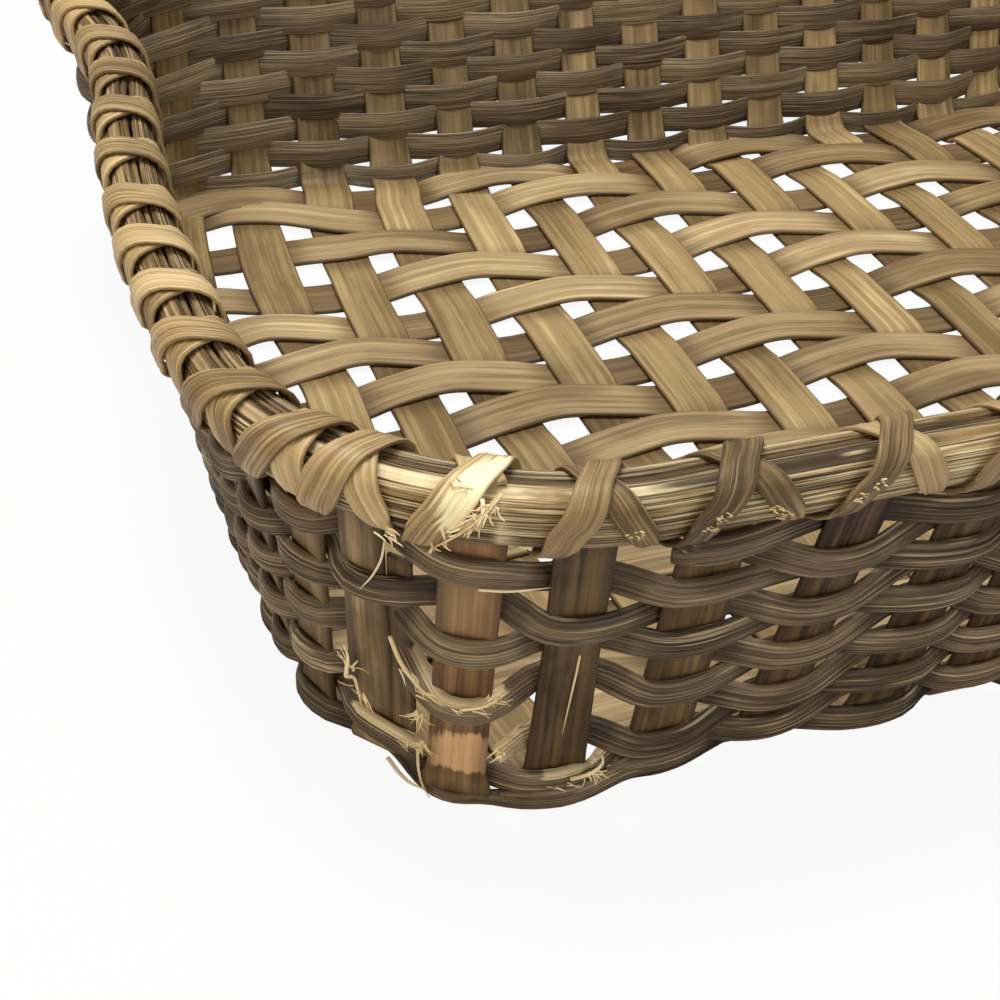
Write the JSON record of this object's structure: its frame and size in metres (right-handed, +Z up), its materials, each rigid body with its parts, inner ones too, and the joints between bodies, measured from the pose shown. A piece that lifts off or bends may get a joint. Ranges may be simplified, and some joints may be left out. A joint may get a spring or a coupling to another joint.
{
  "type": "gathering basket",
  "caption": "Low rectangular wicker basket with an open twill splint base, woven reed walls and a hooped rim bound with crossed lashing.",
  "frame": {"origin": "on the floor, under the middle of the base", "axes": "+X along the long side, +Y from the front wall to the back wall, +Z up out of the mouth"},
  "size_m": [0.4192, 0.3482, 0.0981],
  "materials": {
    "column_splint": "dry matt split reed",
    "row_splint": "dry matt split reed",
    "weaver_reed": "weathered satin reed",
    "rim_hoop": "satin half-round reed",
    "rim_filler": "dry matt reed",
    "lashing_reed": "satin flat reed"
  },
  "bodies": {
    "root": {"base_column_01": "column_splint", "base_column_02": "column_splint", "base_column_03": "column_splint", "base_column_04": "column_splint", "base_column_05": "column_splint", "base_column_06": "column_splint", "base_column_07": "column_splint", "base_column_08": "column_splint", "base_column_09": "column_splint", "base_column_10": "column_splint", "base_column_11": "column_splint", "base_column_12": "column_splint", "base_column_13": "column_splint", "base_column_14": "column_splint", "base_column_15": "column_splint", "base_row_01": "row_splint", "base_row_02": "row_splint", "base_row_03": "row_splint", "base_row_04": "row_splint", "base_row_05": "row_splint", "base_row_06": "row_splint", "base_row_07": "row_splint", "base_row_08": "row_splint", "base_row_09": "row_splint", "base_row_10": "row_splint", "base_row_11": "row_splint", "base_row_12": "row_splint", "base_row_13": "row_splint", "base_row_14": "row_splint", "base_row_15": "row_splint", "weaver_01": "weaver_reed", "weaver_02": "weaver_reed", "weaver_03": "weaver_reed", "weaver_04": "weaver_reed", "weaver_05": "weaver_reed", "weaver_06": "weaver_reed", "weaver_07": "weaver_reed", "weaver_08": "weaver_reed", "weaver_09": "weaver_reed", "weaver_10": "weaver_reed", "weaver_11": "weaver_reed", "rim_outer_hoop": "rim_hoop", "rim_inner_hoop": "rim_hoop", "rim_filler": "rim_filler", "lashing_forward": "lashing_reed", "lashing_return": "lashing_reed"}
  },
  "joints": []
}
